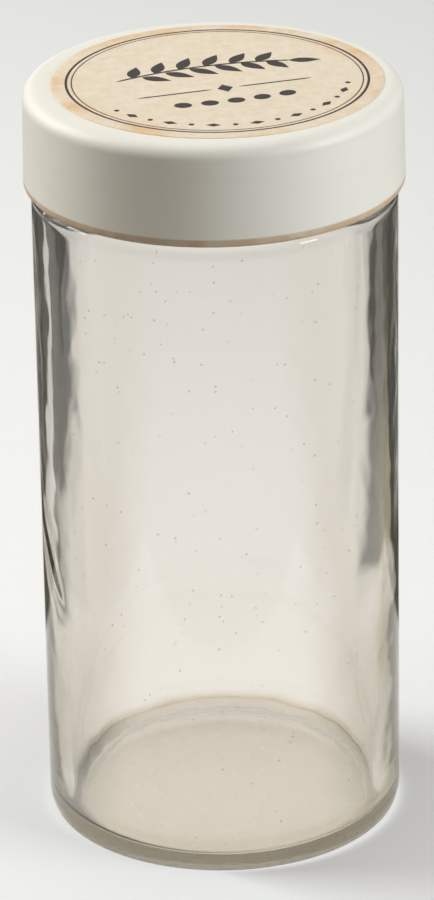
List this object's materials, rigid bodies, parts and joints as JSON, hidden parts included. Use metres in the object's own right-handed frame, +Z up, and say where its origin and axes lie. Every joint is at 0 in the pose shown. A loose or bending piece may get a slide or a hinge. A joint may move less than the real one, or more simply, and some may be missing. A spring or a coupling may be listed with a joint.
{
  "type": "spice jar",
  "caption": "Straight-sided clear glass spice jar with an off-white screw cap, a round paper label on the cap, a sealing disc under it and a perforated sifter insert in the mouth.",
  "frame": {"origin": "on the jar's axis, in the plane of the ring it stands on", "axes": "+Z up along the jar's axis towards the cap; the label's shift on the cap is along +X"},
  "size_m": [0.0498, 0.0498, 0.1034],
  "materials": {
    "clear_glass": "clear, glossy, faintly warm",
    "natural_plastic": "satin, natural white",
    "liner_board": "matte pulp board",
    "cap_plastic": "glossy off-white",
    "label_paper": "matte aged paper"
  },
  "bodies": {
    "jar": {"glass_jar": "clear_glass", "sifter_insert": "natural_plastic"},
    "liner": {"cap_liner": "liner_board"},
    "cap": {"screw_cap": "cap_plastic", "top_label": "label_paper"}
  },
  "joints": [
    {"name": "cap_lift", "type": "slide", "parent": "jar", "child": "liner", "axis": [0, 0, 1], "range_m": [0, 0.0212]},
    {"name": "cap_turn", "type": "hinge", "parent": "liner", "child": "cap", "pos_m": [0, 0, 0.097], "axis": [0, 0, 1], "range_deg": [0, 1800]}
  ],
  "couplings": [
    {"joint": "cap_lift", "follows": "cap_turn", "m_per_rad": 0.00067375}
  ]
}
